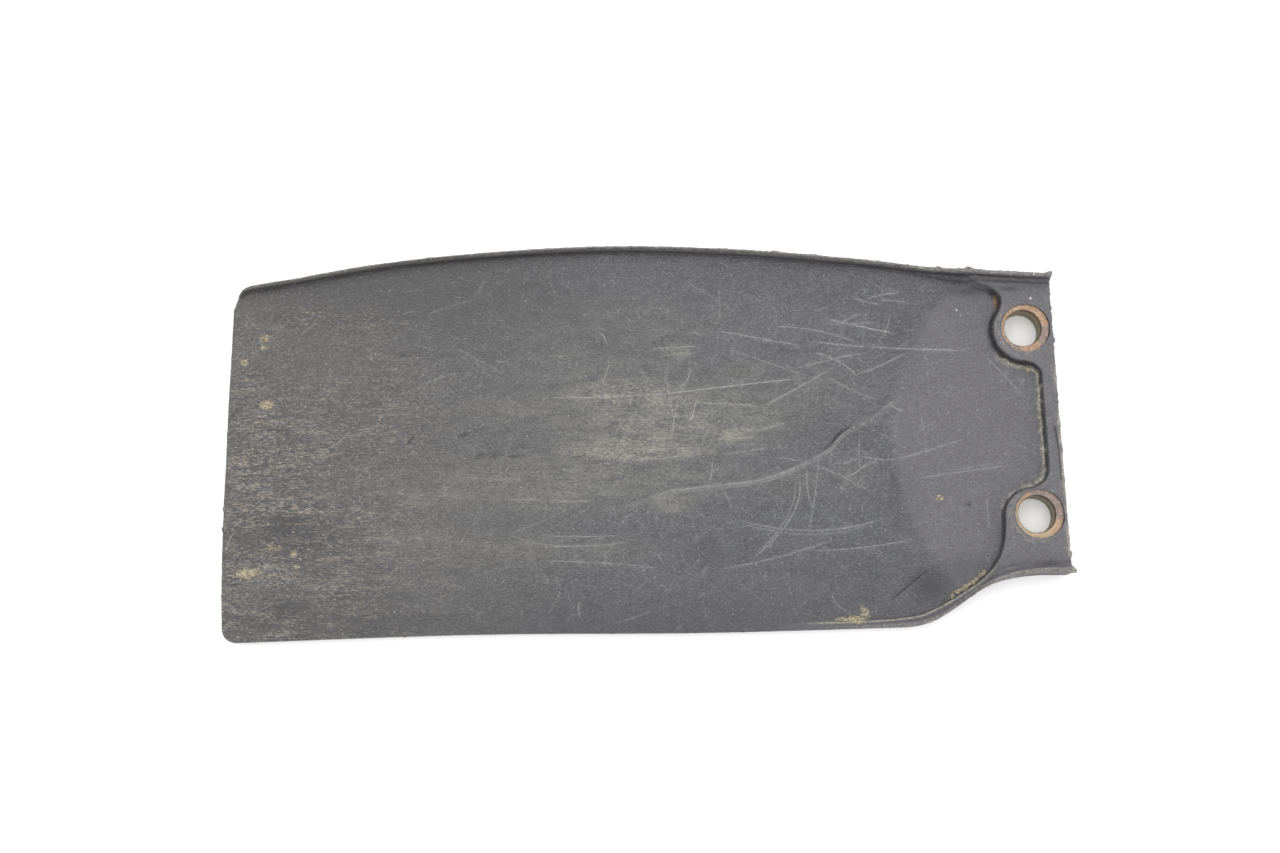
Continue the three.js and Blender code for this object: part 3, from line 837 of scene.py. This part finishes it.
def add_sides(shell, top_rim, edge_z, torn):
    """Sides of the moulding, down to its back. Returns the back's rim and its vertices."""
    out = -OUTLINE.normals()
    rings = [top_rim[::-1]]
    for part, flare in ((0.93, 0.8), (0.82, 0.3), (0.62, 0.0), (0.42, 0.0), (0.22, 0.0)):
        rough = 0.05 * noise(OUTLINE.points + 40 * part, 1.3, 61)[:, None]
        side = OUTLINE.points + out * (torn * flare + rough)
        rings.append(shell.add(level(side, edge_z * part))[::-1])
    back_rim = OUTLINE.points - out * BACK_ROUND
    rings.append(shell.add(level(OUTLINE.points, BACK_ROUND))[::-1])
    rings.append(shell.add(level(back_rim, 0.0))[::-1])
    shell.skin(rings)
    return Line(back_rim, closed=True), rings[-1][::-1]


def add_pockets(shell, numbers):
    """Pockets for the collars, down to the back. Returns each hole in the back and its vertices."""
    ceiling = STRIP - SKIN
    shelf = FLANGE_TOP - FLANGE_THICKNESS - FIT
    holes = []
    start = len(OUTLINE.points)
    for window, y in zip(WINDOWS, (HOLE_Y, -HOLE_Y)):
        rings = [numbers[start:start + ROUND_SIDES]]
        start += ROUND_SIDES
        flange_hole = circle(y, FLANGE_R + FIT)
        sleeve_hole = circle(y, SLEEVE_R + FIT)
        for ring, height in (
            (window.points, ceiling), (flange_hole, ceiling), (flange_hole, shelf), (sleeve_hole, shelf),
            (sleeve_hole, 0.0),
        ):
            rings.append(shell.add(level(ring, height)))
        shell.skin(rings)
        holes.append((Line(sleeve_hole, closed=True), rings[-1]))
    return holes


def add_back(shell, outer, outer_numbers, holes):
    """The flat back, inside its rim and round the holes."""
    across = np.arange(FLAP_LOW[0], FLAP_HIGH[0], BACK_STEP)
    up = np.arange(FLAP_LOW[1], FLAP_HIGH[1], BACK_STEP)
    net = np.stack(np.meshgrid(across, up), -1).reshape(-1, 2)
    lines = [line for line, _ in holes]
    back, triangles = plate(outer, lines, net[within(net, outer, lines, 1.0)])
    rims = np.concatenate([outer_numbers, *(ring for _, ring in holes)])
    numbers = np.append(rims, shell.add(level(back[len(rims):], 0.0)))
    shell.faces += numbers[triangles][:, ::-1].tolist()


def rubber_flap(material):
    """The moulding: its face in full relief, its sides, its flat back and the pockets for the collars."""
    shell = Shell()
    face, triangles = plate(OUTLINE, WINDOWS, face_points())
    z, finish = relief(face)
    add_scratches(face, z, finish)
    rim = len(OUTLINE.points)
    torn = flash(OUTLINE.points)[:, None]
    top = face.copy()
    top[:rim] -= OUTLINE.normals() * torn
    numbers = shell.add(level(top, z))
    shell.faces += triangles.tolist()
    outer, outer_numbers = add_sides(shell, numbers[:rim], z[:rim], torn)
    add_back(shell, outer, outer_numbers, add_pockets(shell, numbers))
    finish["side"] = np.arange(shell.count) >= len(face)
    make_piece("flap_rubber_moulding", shell, finish, material, "rubber_flap")


# ---------------------------------------------------------------- collars

def collar_profile():
    """Radius and height round one collar's section, from the foot of the bore outwards."""
    low = FLANGE_TOP - FLANGE_THICKNESS
    mouth = 0.55
    profile = [
        (BORE_R + 0.15, 0.0), (SLEEVE_R - 0.15, 0.0), (SLEEVE_R, 0.15), (SLEEVE_R, low),
        (FLANGE_R - 0.1, low), (FLANGE_R, low + 0.1), (FLANGE_R, FLANGE_TOP - 0.25),
        (FLANGE_R - 0.08, FLANGE_TOP - 0.08), (FLANGE_R - 0.25, FLANGE_TOP),
        (FLANGE_R - 0.7, FLANGE_TOP - 0.02), (FLANGE_R - 1.1, FLANGE_TOP),
    ]
    for turn in np.radians([90, 72, 54, 36, 18, 0]):
        profile.append((BORE_R + mouth * (1 - math.cos(turn)), FLANGE_TOP - mouth * (1 - math.sin(turn))))
    profile += [(BORE_R, height) for height in (4.2, 3.4, 2.6, 1.8, 1.0, 0.15)]
    return profile


def collar(name, y, finish_at, material, node):
    """One steel collar, a little out of round and pitted, with its finish round the ring and painted shade at
    its bore's mouth.
    """
    shell = Shell()
    columns = {label: [] for label in ("grey", "copper", "mouth", "bore")}
    rings = []
    for radius, z in collar_profile():
        pits = 0.018 * noise(AROUND * radius + z + 9 * y, 0.55, 71)
        pits += 0.012 * noise(AROUND * radius + y, 1.8, 72)
        place = AROUND * (radius + 0.6 * pits * (radius < FLANGE_R - 0.5))[:, None] + [0, y]
        rings.append(shell.add(level(place, z + pits * (z > FLANGE_TOP - 0.2))))
        # Painted shade: a dark ring at the bore's mouth, darker on its +X side
        mouth = hump(radius - BORE_R, 0.08, 0.14) * (z > FLANGE_TOP - 0.7)
        columns["mouth"].append(mouth * (0.35 + 0.65 * smooth(np.cos(TURN - 0.2), -0.4, 0.5)))
        columns["bore"].append(np.full(ROUND_SIDES, float(z < FLANGE_TOP - 0.4)))
        for label, (angles, values) in finish_at.items():
            columns[label].append(np.interp(np.degrees(TURN), angles, values, period=360))
    shell.skin([*rings, rings[0]])
    finishes = {label: np.concatenate(rows) for label, rows in columns.items()}
    make_piece(name, shell, finishes, material, node)


# How grey and how copper-red each collar is, by angle anticlockwise from +X
UPPER_FINISH = {
    "grey": ([-95, -60, -30, 0, 20, 60, 180, 215, 240, 258], [0.1, 0.3, 0.8, 0.7, 0.15, 0, 0, 0.3, 0.9, 0.8]),
    "copper": ([-80, -20, 30, 90, 150, 200], [0.9, 0.9, 0.8, 0.55, 0.6, 0.7]),
}
LOWER_FINISH = {
    "grey": ([-60, -25, 0, 60, 95, 118, 170, 250], [0.1, 0.35, 0.85, 0.9, 0.85, 0.1, 0.0, 0.0]),
    "copper": ([-80, -40, 0, 60, 110, 140, 175, 220], [0.2, 0.5, 0.7, 0.4, 0.7, 0.6, 0.15, 0.0]),
}


# ---------------------------------------------------------------- materials

class Paint:
    """A procedural material. Its patterns are measured in millimetres of the piece itself."""

    def __init__(self, name, finishes=()):
        self.material = bpy.data.materials.new(name)
        self.material.use_nodes = True
        self.tree = self.material.node_tree
        self.shader = self.tree.nodes["Principled BSDF"]
        coordinates = self.node("ShaderNodeTexCoord")
        scaled = self.node("ShaderNodeVectorMath", coordinates.outputs["Object"], operation="SCALE")
        scaled.inputs["Scale"].default_value = 1 / MM
        self.place = scaled.outputs[0]
        self.on = {label: self.on_piece(label) for label in finishes}
        self.colour = None

    def node(self, kind, *inputs, **settings):
        """A node with its first inputs linked or set."""
        node = self.tree.nodes.new(kind)
        for label, value in settings.items():
            setattr(node, label, value)
        for socket, value in zip(node.inputs, inputs):
            self.feed(socket, value)
        return node

    def feed(self, socket, value):
        """Links another node's output to a socket, or sets the socket."""
        if isinstance(value, bpy.types.NodeSocket):
            self.tree.links.new(value, socket)
        elif value is not None:
            socket.default_value = value

    def on_piece(self, label):
        """A finish that the piece's own vertices carry."""
        return self.node("ShaderNodeAttribute", attribute_name=label).outputs["Fac"]

    def scaled(self, place, scale):
        """A place with each of its axes scaled."""
        mapping = self.node("ShaderNodeMapping", place)
        mapping.inputs["Scale"].default_value = scale
        return mapping.outputs[0]

    def turned(self, turn):
        """The place on the piece, turned about Z."""
        rotation = self.node("ShaderNodeVectorRotate", self.place, rotation_type="Z_AXIS")
        rotation.inputs["Angle"].default_value = turn
        return rotation.outputs[0]

    def texture(self, place, detail, rough):
        """Noise from 0 to 1 in lumps about 1 across."""
        noise = self.node("ShaderNodeTexNoise", place)
        noise.inputs["Scale"].default_value = 1.0
        noise.inputs["Detail"].default_value = detail
        noise.inputs["Roughness"].default_value = rough
        return noise.outputs[0]

    def noise(self, size, detail=3.0, stretch=1.0, rough=0.55):
        """Noise from 0 to 1 in lumps of this size, drawn out along X by stretch."""
        drawn_out = self.scaled(self.place, (1 / (size * stretch), 1 / size, 1 / size))
        return self.texture(drawn_out, detail, rough)

    def spots(self, spacing, radius, share, stretch=1.0, turn=0.0):
        """Specks of about this radius, longer along one way. Only a share of the places for one hold one."""
        cells = self.node("ShaderNodeTexVoronoi", self.scaled(self.turned(turn), (1 / stretch, 1, 1)))
        cells.inputs["Scale"].default_value = 1 / spacing
        near = self.ramp(cells.outputs["Distance"], radius / spacing, 0.4 * radius / spacing)
        lucky = self.node("ShaderNodeSeparateColor", cells.outputs["Color"]).outputs[0]
        return self.times(near, self.ramp(lucky, 1 - share, 1 - 0.6 * share))

    def hairs(self, size, stretch, turn, width):
        """Fine broken lines, like hairline scratches, drawn out along X and then turned."""
        drawn_out = self.scaled(self.turned(turn), (1 / (size * stretch), 1 / size, 1 / size))
        off_line = self.math("ABSOLUTE", self.plus(self.texture(drawn_out, 1.0, 0.5), -0.5), None)
        line = self.ramp(off_line, width / size, 0.0)
        return self.times(line, self.ramp(self.noise(1.7 * size), 0.5, 0.62))

    def ramp(self, value, start, end, low=0.0, high=1.0):
        """Maps start..end to low..high, and holds it there outside."""
        node = self.node("ShaderNodeMapRange", value, start, end, low, high, interpolation_type="SMOOTHSTEP")
        return node.outputs[0]

    def math(self, operation, first, second):
        """One sum on two values."""
        return self.node("ShaderNodeMath", first, second, operation=operation).outputs[0]

    def times(self, first, second):
        return self.math("MULTIPLY", first, second)

    def plus(self, first, second):
        return self.math("ADD", first, second)

    def larger(self, first, second):
        return self.math("MAXIMUM", first, second)

    def blend(self, amount, first, second):
        """The first colour, turned towards the second."""
        node = self.node("ShaderNodeMix", data_type="RGBA")
        self.feed(node.inputs[0], amount)
        for socket, colour in zip(node.inputs[6:8], (first, second)):
            self.feed(socket, (*colour, 1.0) if isinstance(colour, tuple) else colour)
        return node.outputs[2]

    def tones(self, pattern, start, end, first, second):
        """A colour that follows a pattern from one tone to another."""
        return self.blend(self.ramp(pattern, start, end), first, second)

    def coat(self, amount, tone, strength=None):
        """Turns the colour so far towards a tone."""
        if strength is not None:
            amount = self.times(amount, strength)
        self.colour = self.blend(amount, self.colour, tone)

    def bump(self, height, distance, strength, under=None):
        """Adds a relief of this depth, in millimetres, on top of another."""
        node = self.node("ShaderNodeBump")
        node.inputs["Strength"].default_value = strength
        node.inputs["Distance"].default_value = distance * MM
        self.feed(node.inputs["Height"], height)
        self.feed(node.inputs["Normal"], under)
        return node.outputs[0]

    def finish(self, roughness, normal=None):
        """Connects the shader and returns the material."""
        self.feed(self.shader.inputs["Base Color"], self.colour)
        self.feed(self.shader.inputs["Roughness"], roughness)
        self.feed(self.shader.inputs["Normal"], normal)
        return self.material


def rubber():
    """Black rubber: scuffed grey, streaked at the free end, dusted in the middle, with mud in the corners and
    painted shade along its walls and cuts.
    """
    paint = Paint("scuffed_rubber", (
        "painted_shade_and_bare_black", "grime_and_painted_shade", "root", "strip", "crest", "mud", "rust", "grit", "haze", "streak", "scratch",
        "side", "brown", "dust"))
    on, coat, tones, bump = paint.on, paint.coat, paint.tones, paint.bump
    noise, spots, ramp = paint.noise, paint.spots, paint.ramp
    times, plus, larger = paint.times, paint.plus, paint.larger
    grain = noise(0.42, 2.0, 1.5, 0.75)
    mottle = noise(2.4, 6.0, 1.8, 0.75)
    streaks = noise(0.22, 3.0, 5.0, 0.8)
    bands = noise(1.4, 5.0, 6.0, 0.65)
    flecks = noise(0.5, 4.0, 1.4, 0.8)

    # Grey face with a fine grain, specks and hairlines, smoother on the round zone and the strip
    flat = larger(on["root"], on["strip"])
    rough_part = ramp(flat, 0.0, 1.0, 1.0, 0.7)
    paint.colour = tones(mottle, 0.3, 0.7, (0.029, 0.0295, 0.0335), (0.061, 0.062, 0.068))
    coat(ramp(noise(16.0, 4.0, 1.5), 0.35, 0.7, 0.0, 0.4), (0.062, 0.062, 0.067))
    coat(flat, (0.084, 0.079, 0.086), 0.7)
    coat(on["brown"], (0.070, 0.058, 0.040), 0.32)
    coat(times(ramp(streaks, 0.54, 0.68, 0.0, 0.42), rough_part), (0.15, 0.15, 0.152))
    coat(times(ramp(grain, 0.48, 0.68), rough_part), (0.17, 0.17, 0.175), 0.34)
    coat(times(ramp(grain, 0.48, 0.3), rough_part), (0.014, 0.014, 0.016), 0.5)
    specks = larger(spots(1.3, 0.18, 0.5, 2.2, 0.2), spots(1.9, 0.2, 0.45, 2.6, -0.8))
    specks = larger(specks, spots(3.3, 0.2, 0.35, 1.7, 1.2))
    coat(times(specks, ramp(bands, 0.35, 0.6, 0.3, 1.0)), (0.27, 0.27, 0.258), 0.6)
    hairs = larger(paint.hairs(2.6, 3.0, 0.3, 0.035), paint.hairs(3.4, 2.5, -0.9, 0.035))
    coat(hairs, (0.2, 0.2, 0.195), 0.35)
    # Dirt and dark nicks, with painted shade in the dip and under the top lip beside the strip
    coat(on["grime_and_painted_shade"], (0.018, 0.018, 0.021), 0.7)

    # Pale and dark streaks and fibres at the free end
    worn = plus(streaks, times(bands, 0.4))
    pale = times(on["streak"], ramp(worn, 0.73, 0.83))
    pale = times(pale, ramp(noise(6.0, 4.0, 1.7, 0.6), 0.38, 0.58, 0.35, 1.15))
    pale = times(pale, ramp(on["grime_and_painted_shade"], 0.2, 0.9, 1.0, 0.4))
    coat(pale, tones(mottle, 0.4, 0.65, (0.215, 0.21, 0.19), (0.29, 0.23, 0.155)), 0.78)
    coat(times(on["streak"], ramp(worn, 0.69, 0.54)), (0.011, 0.011, 0.012), 0.85)
    fibres = larger(spots(0.8, 0.15, 0.6, 3.0, 0.1), spots(1.0, 0.16, 0.5, 2.5, -0.5))
    coat(times(fibres, on["streak"]), (0.32, 0.29, 0.22), 0.8)

    # Haze of dried dust in the middle
    patchy = times(on["haze"], ramp(plus(mottle, bands), 0.8, 1.2, 0.3, 1.3))
    coat(patchy, (0.2, 0.195, 0.165), 0.44)
    dusted = plus(times(patchy, 0.16), noise(0.34, 4.0, 3.0, 0.8))
    dusted = times(ramp(dusted, 0.54, 0.68), ramp(on["haze"], 0.02, 0.5))
    wisps = larger(spots(1.0, 0.14, 0.6, 5.0, 0.05), spots(1.3, 0.16, 0.5, 3.0, 0.9))
    dusted = larger(dusted, times(wisps, ramp(patchy, 0.1, 0.6)))
    coat(dusted, (0.25, 0.245, 0.205), 0.7)

    # Paler crests, scratches, painted shade lines, dust, mud, rust and grit, and the plain sides and back
    coat(on["crest"], tones(flecks, 0.42, 0.6, (0.062, 0.058, 0.062), (0.19, 0.176, 0.16)), 0.95)
    # Pale scratches, and the painted highlight along the gouge's welt
    coat(times(on["scratch"], ramp(grain, 0.3, 0.55, 0.4, 1.0)), (0.33, 0.325, 0.31))
    # Painted shade: near-black lines on the wall, under the lip, at the rim's foot and in the cuts, where
    # shade falls; on the wall it is also bare black rubber
    coat(times(on["painted_shade_and_bare_black"], ramp(grain, 0.62, 0.5, 0.7, 1.0)), (0.012, 0.012, 0.014))
    dust = times(on["dust"], ramp(grain, 0.35, 0.6, 0.45, 1.0))
    coat(dust, tones(flecks, 0.42, 0.6, (0.2, 0.187, 0.145), (0.46, 0.435, 0.345)), 0.85)
    uneven = plus(times(flecks, 1.6), times(mottle, 1.1))
    muddy = times(ramp(plus(on["mud"], uneven), 1.85, 2.1), ramp(on["mud"], 0.0, 0.3))
    coat(muddy, tones(grain, 0.35, 0.65, (0.12, 0.098, 0.066), (0.37, 0.315, 0.215)), 0.9)
    coat(times(on["rust"], ramp(grain, 0.3, 0.6)), (0.34, 0.175, 0.085))
    coat(on["grit"], (0.75, 0.73, 0.68))
    coat(on["side"], tones(mottle, 0.4, 0.7, (0.028, 0.028, 0.03), (0.07, 0.066, 0.058)), 0.9)

    roughness = plus(ramp(mottle, 0.3, 0.7, 0.5, 0.62), times(larger(dusted, muddy), 0.3))
    pores = bump(grain, 0.06, 0.5)
    lumps = bump(mottle, 0.12, 0.4, pores)
    combed = bump(times(streaks, on["streak"]), 0.12, 0.5, lumps)
    return paint.finish(roughness, bump(times(muddy, flecks), 0.25, 0.6, combed))


def plated_steel(name):
    """Yellow zinc plate, worn grey in places and rusted copper-red in others, with painted shade at the
    bore's mouth.
    """
    paint = Paint(name, ("grey", "copper", "mouth", "bore"))
    grain = paint.noise(0.3, 3.0, 1.0, 0.7)
    patches = paint.noise(1.1, 5.0, 1.0, 0.75)
    copper = paint.ramp(paint.plus(paint.on["copper"], paint.times(patches, 0.8)), 0.6, 1.15)
    grey = paint.ramp(paint.plus(paint.on["grey"], paint.times(patches, 0.8)), 0.75, 1.15)
    paint.colour = paint.blend(copper, (0.345, 0.275, 0.17), (0.335, 0.215, 0.14))
    paint.coat(grey, (0.185, 0.155, 0.142))
    paint.coat(paint.ramp(grain, 0.48, 0.66, 0.0, 0.55), (0.14, 0.095, 0.065))
    paint.coat(paint.ramp(patches, 0.52, 0.4, 0.0, 0.6), (0.36, 0.25, 0.20))
    paint.coat(paint.ramp(patches, 0.56, 0.68, 0.0, 0.6), (0.36, 0.18, 0.085))
    paint.coat(paint.ramp(paint.noise(0.7, 5.0, 1.0, 0.8), 0.5, 0.63, 0.0, 0.7), (0.12, 0.09, 0.072))
    paint.coat(paint.on["bore"], (0.19, 0.17, 0.10), 0.8)
    # Painted shade at the bore's mouth
    paint.coat(paint.on["mouth"], (0.03, 0.025, 0.02))
    paint.shader.inputs["Metallic"].default_value = 0.55
    pits = paint.bump(grain, 0.04, 0.5)
    scale = paint.bump(patches, 0.08, 0.4, pits)
    return paint.finish(paint.ramp(patches, 0.3, 0.7, 0.45, 0.65), scale)


def pale_board():
    """The floor: matt white board with a faint mottle."""
    paint = Paint("pale_board")
    paint.colour = paint.blend(paint.noise(90.0, 2.0), (0.88, 0.88, 0.885), (0.91, 0.91, 0.91))
    return paint.finish(0.9)


# ---------------------------------------------------------------- stage

def floor():
    """A large pale floor just under the flap."""
    mesh = bpy.data.meshes.new("floor")
    corners = [(x * FLOOR_HALF, y * FLOOR_HALF, 0) for x, y in ((-1, -1), (1, -1), (1, 1), (-1, 1))]
    mesh.from_pydata(corners, [], [(0, 1, 2, 3)])
    mesh.materials.append(pale_board())
    piece = new_object("floor", mesh)
    piece.location.z = -FLOOR_GAP


def lights(centre):
    """Even white light from all round, and a soft lamp above the top edge."""
    world = bpy.data.worlds.new("studio")
    world.use_nodes = True
    background = world.node_tree.nodes["Background"]
    background.inputs["Color"].default_value = (1, 1, 1, 1)
    background.inputs["Strength"].default_value = WORLD_STRENGTH
    bpy.context.scene.world = world
    lamp = bpy.data.lights.new("lamp_above", "AREA")
    lamp.shape = "RECTANGLE"
    lamp.size, lamp.size_y = LAMP_SIZE
    lamp.energy = LAMP_POWER
    light = new_object("lamp_above", lamp)
    light.location = centre + LAMP_PLACE
    light.rotation_euler = (-LAMP_PLACE).to_track_quat("-Z", "Y").to_euler()


def camera(centre):
    """Looks steeply down on the flap from below its stepped edge, a little turned."""
    aim = Vector((centre.x, centre.y + AIM_SHIFT, 0.0))
    aside, down = math.sin(CAMERA_AZIMUTH), -math.cos(CAMERA_AZIMUTH)
    flat, up = math.cos(CAMERA_ELEVATION), math.sin(CAMERA_ELEVATION)
    back = Vector((aside * flat, down * flat, up))
    data = bpy.data.cameras.new("camera")
    data.lens = CAMERA_LENS
    data.clip_start = 0.01
    view = new_object("camera", data)
    view.location = aim + back * CAMERA_DISTANCE
    view.rotation_euler = back.to_track_quat("Z", "Y").to_euler()
    bpy.context.scene.camera = view


middle = (cad_box[0] + cad_box[1]) / 2
camera(middle)
floor()
lights(middle)
bpy.context.scene.view_settings.view_transform = "Standard"
rubber_flap(rubber())
collar("upper_steel_collar", HOLE_Y, UPPER_FINISH, plated_steel("upper_plated_steel"), "upper_collar")
collar("lower_steel_collar", -HOLE_Y, LOWER_FINISH, plated_steel("lower_plated_steel"), "lower_collar")
